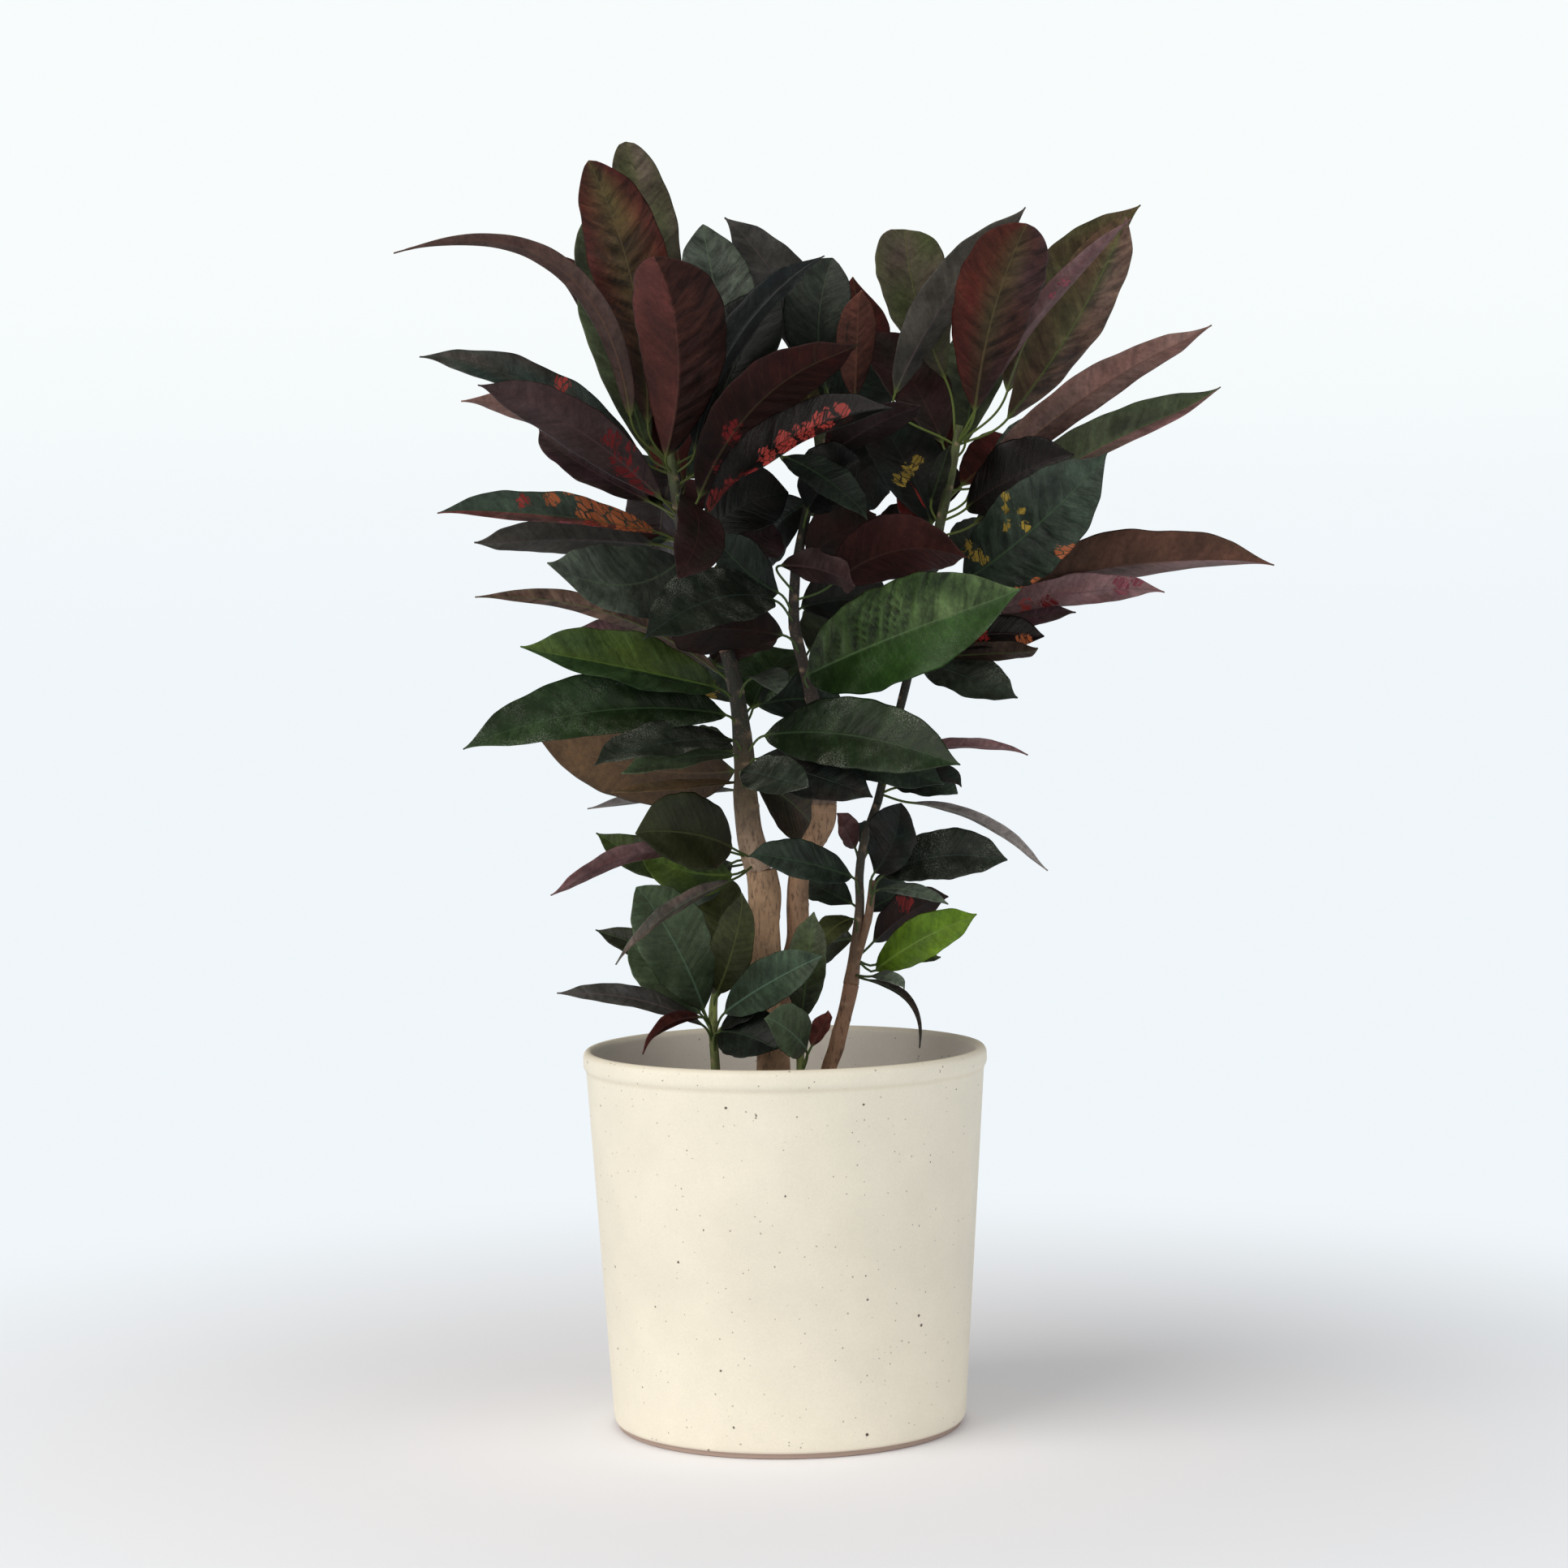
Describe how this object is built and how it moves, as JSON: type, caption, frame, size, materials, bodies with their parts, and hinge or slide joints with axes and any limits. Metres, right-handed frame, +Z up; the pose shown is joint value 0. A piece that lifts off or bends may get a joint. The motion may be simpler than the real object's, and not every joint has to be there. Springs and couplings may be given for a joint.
{
  "type": "potted croton plant",
  "caption": "Potted croton with dark patterned leaves on woody stems, standing in a turned cream stoneware pot with potting mix",
  "frame": {"origin": "centre of the pot's flat underside, on the surface it stands on", "axes": "+Z up along the pot's axis, +X to the right and +Y to the back as the plant is seen from its front"},
  "size_m": [0.4465, 0.2607, 0.674],
  "materials": {
    "stoneware": "satin",
    "soil": "matte",
    "bark": "matte",
    "leaf_green": "satin",
    "leaf_maroon": "satin",
    "leaf_dark": "satin"
  },
  "bodies": {
    "root": {"pot": "stoneware", "potting_soil": "soil", "trunk_main": "bark", "trunk_slim": "bark", "whorl_left": "leaf_green", "crown_left": "leaf_maroon", "spray_middle": "leaf_green", "crown_back": "leaf_dark", "whorl_right": "leaf_green", "crown_right": "leaf_maroon", "shoot_left": "leaf_green", "shoot_middle": "leaf_green"}
  },
  "joints": []
}
